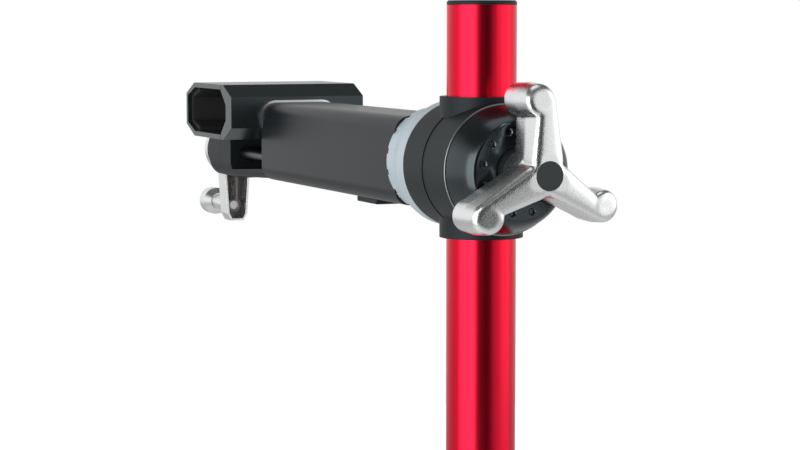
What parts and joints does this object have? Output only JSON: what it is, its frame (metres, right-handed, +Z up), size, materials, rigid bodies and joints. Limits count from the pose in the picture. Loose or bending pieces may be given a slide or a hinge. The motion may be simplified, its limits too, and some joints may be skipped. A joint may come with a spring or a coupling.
{
  "type": "bicycle repair stand",
  "caption": "Free-standing bicycle repair stand with a square clamping arm that turns on a red upright, crank-driven jaws, a lobed lock handle and folding legs.",
  "frame": {"origin": "on the floor under the middle of the mast", "axes": "+Z up along the mast, the arm reaches out along -X, the lock handle is on +X"},
  "size_m": [0.7833, 0.9046, 1.2401],
  "materials": {
    "red_anodised": "satin red anodised",
    "black_plastic": "satin black",
    "steel": "plain",
    "dark_steel": "black oxide",
    "cast_silver": "satin cast",
    "zinc_ring": "matte cast",
    "brass": "plain",
    "arm_coat": "satin black anodised",
    "mast_coat": "satin black anodised",
    "rubber": "matte",
    "bush_plastic": "plain"
  },
  "bodies": {
    "base": {"lower_mast_tube": "mast_coat", "height_clamp": "black_plastic", "height_clamp_bolt": "steel", "bottom_hub": "mast_coat", "mast_foot": "rubber", "leg_bolts": "steel"},
    "slider": {"mast_bush": "bush_plastic"},
    "upright": {"upright_tube": "red_anodised", "tube_cap": "black_plastic", "collar_rear_shell": "black_plastic", "collar_front_shell": "black_plastic", "shell_screws": "steel", "dome_cover": "black_plastic", "hub_washer": "black_plastic"},
    "arm": {"pivot_axle": "steel", "arm_flange": "zinc_ring", "castle_ring": "zinc_ring", "flange_screws": "steel", "arm_tube": "arm_coat", "guide_block": "black_plastic", "spindle_nut": "brass", "fixed_jaw": "black_plastic", "fixed_jaw_pad": "rubber", "jaw_screws": "steel", "button_bracket": "steel", "button_spring": "steel"},
    "handle": {"tri_handle": "cast_silver", "handle_insert": "brass", "handle_cap": "black_plastic"},
    "jaw": {"moving_jaw": "black_plastic", "moving_jaw_pad": "rubber", "jaw_carriage": "black_plastic", "carriage_cover": "black_plastic", "carriage_screws": "steel", "guide_rods": "dark_steel"},
    "crank": {"clamp_spindle": "dark_steel", "crank_lever": "cast_silver", "crank_cover": "cast_silver", "knob_pin": "steel"},
    "knob": {"crank_knob": "cast_silver"},
    "button": {"release_button": "black_plastic"},
    "height_lever": {"height_lever": "black_plastic"},
    "leg_1": {"leg_end_1": "black_plastic", "leg_tube_1": "mast_coat", "leg_foot_1": "rubber"},
    "leg_knob_1": {"leg_knob_1": "black_plastic"},
    "leg_2": {"leg_end_2": "black_plastic", "leg_tube_2": "mast_coat", "leg_foot_2": "rubber"},
    "leg_knob_2": {"leg_knob_2": "black_plastic"},
    "leg_3": {"leg_end_3": "black_plastic", "leg_tube_3": "mast_coat", "leg_foot_3": "rubber"},
    "leg_knob_3": {"leg_knob_3": "black_plastic"}
  },
  "joints": [
    {"name": "upright_height", "type": "slide", "parent": "base", "child": "slider", "axis": [0, 0, 1], "range_m": [-0.12, 0.2]},
    {"name": "upright_swivel", "type": "hinge", "parent": "slider", "child": "upright", "pos_m": [0, 0, 0.6], "axis": [0, 0, 1], "continuous": true},
    {"name": "arm_turn", "type": "hinge", "parent": "upright", "child": "arm", "pos_m": [0, 0, 1.15], "axis": [1, 0, 0], "continuous": true},
    {"name": "handle_turn", "type": "hinge", "parent": "arm", "child": "handle", "pos_m": [0.06, 0, 1.15], "axis": [1, 0, 0], "range_deg": [-360, 360]},
    {"name": "jaw_slide", "type": "slide", "parent": "arm", "child": "jaw", "axis": [-1, 0, 0], "range_m": [0, 0.04]},
    {"name": "crank_turn", "type": "hinge", "parent": "jaw", "child": "crank", "pos_m": [-0.41, 0, 1.1377], "axis": [-1, 0, 0], "range_deg": [0, 3600]},
    {"name": "knob_spin", "type": "hinge", "parent": "crank", "child": "knob", "pos_m": [-0.445, 0, 1.0977], "axis": [-1, 0, 0], "continuous": true},
    {"name": "button_press", "type": "slide", "parent": "arm", "child": "button", "axis": [0, 0, 1], "range_m": [0, 0.003], "stiffness_N_per_m": 900, "deforming": ["button_spring"]},
    {"name": "height_lever_turn", "type": "hinge", "parent": "base", "child": "height_lever", "pos_m": [0.0213, -0.03773, 0.89], "axis": [0, -1, 0], "range_deg": [0, 120]},
    {"name": "leg_fold_1", "type": "hinge", "parent": "base", "child": "leg_1", "pos_m": [0.029, 0.05023, 0.045], "axis": [0.866, -0.5, 0], "range_deg": [0, 90]},
    {"name": "leg_knob_turn_1", "type": "hinge", "parent": "base", "child": "leg_knob_1", "pos_m": [0.029, 0.05023, 0.045], "axis": [-0.866, 0.5, 0], "range_deg": [-360, 0]},
    {"name": "leg_fold_2", "type": "hinge", "parent": "base", "child": "leg_2", "pos_m": [-0.058, 0, 0.045], "axis": [0, 1, 0], "range_deg": [0, 90]},
    {"name": "leg_knob_turn_2", "type": "hinge", "parent": "base", "child": "leg_knob_2", "pos_m": [-0.058, 0, 0.045], "axis": [0, -1, 0], "range_deg": [-360, 0]},
    {"name": "leg_fold_3", "type": "hinge", "parent": "base", "child": "leg_3", "pos_m": [0.029, -0.05023, 0.045], "axis": [-0.866, -0.5, 0], "range_deg": [0, 90]},
    {"name": "leg_knob_turn_3", "type": "hinge", "parent": "base", "child": "leg_knob_3", "pos_m": [0.029, -0.05023, 0.045], "axis": [0.866, 0.5, 0], "range_deg": [-360, 0]}
  ],
  "couplings": [
    {"joint": "jaw_slide", "follows": "crank_turn", "m_per_rad": 0.00063662}
  ]
}
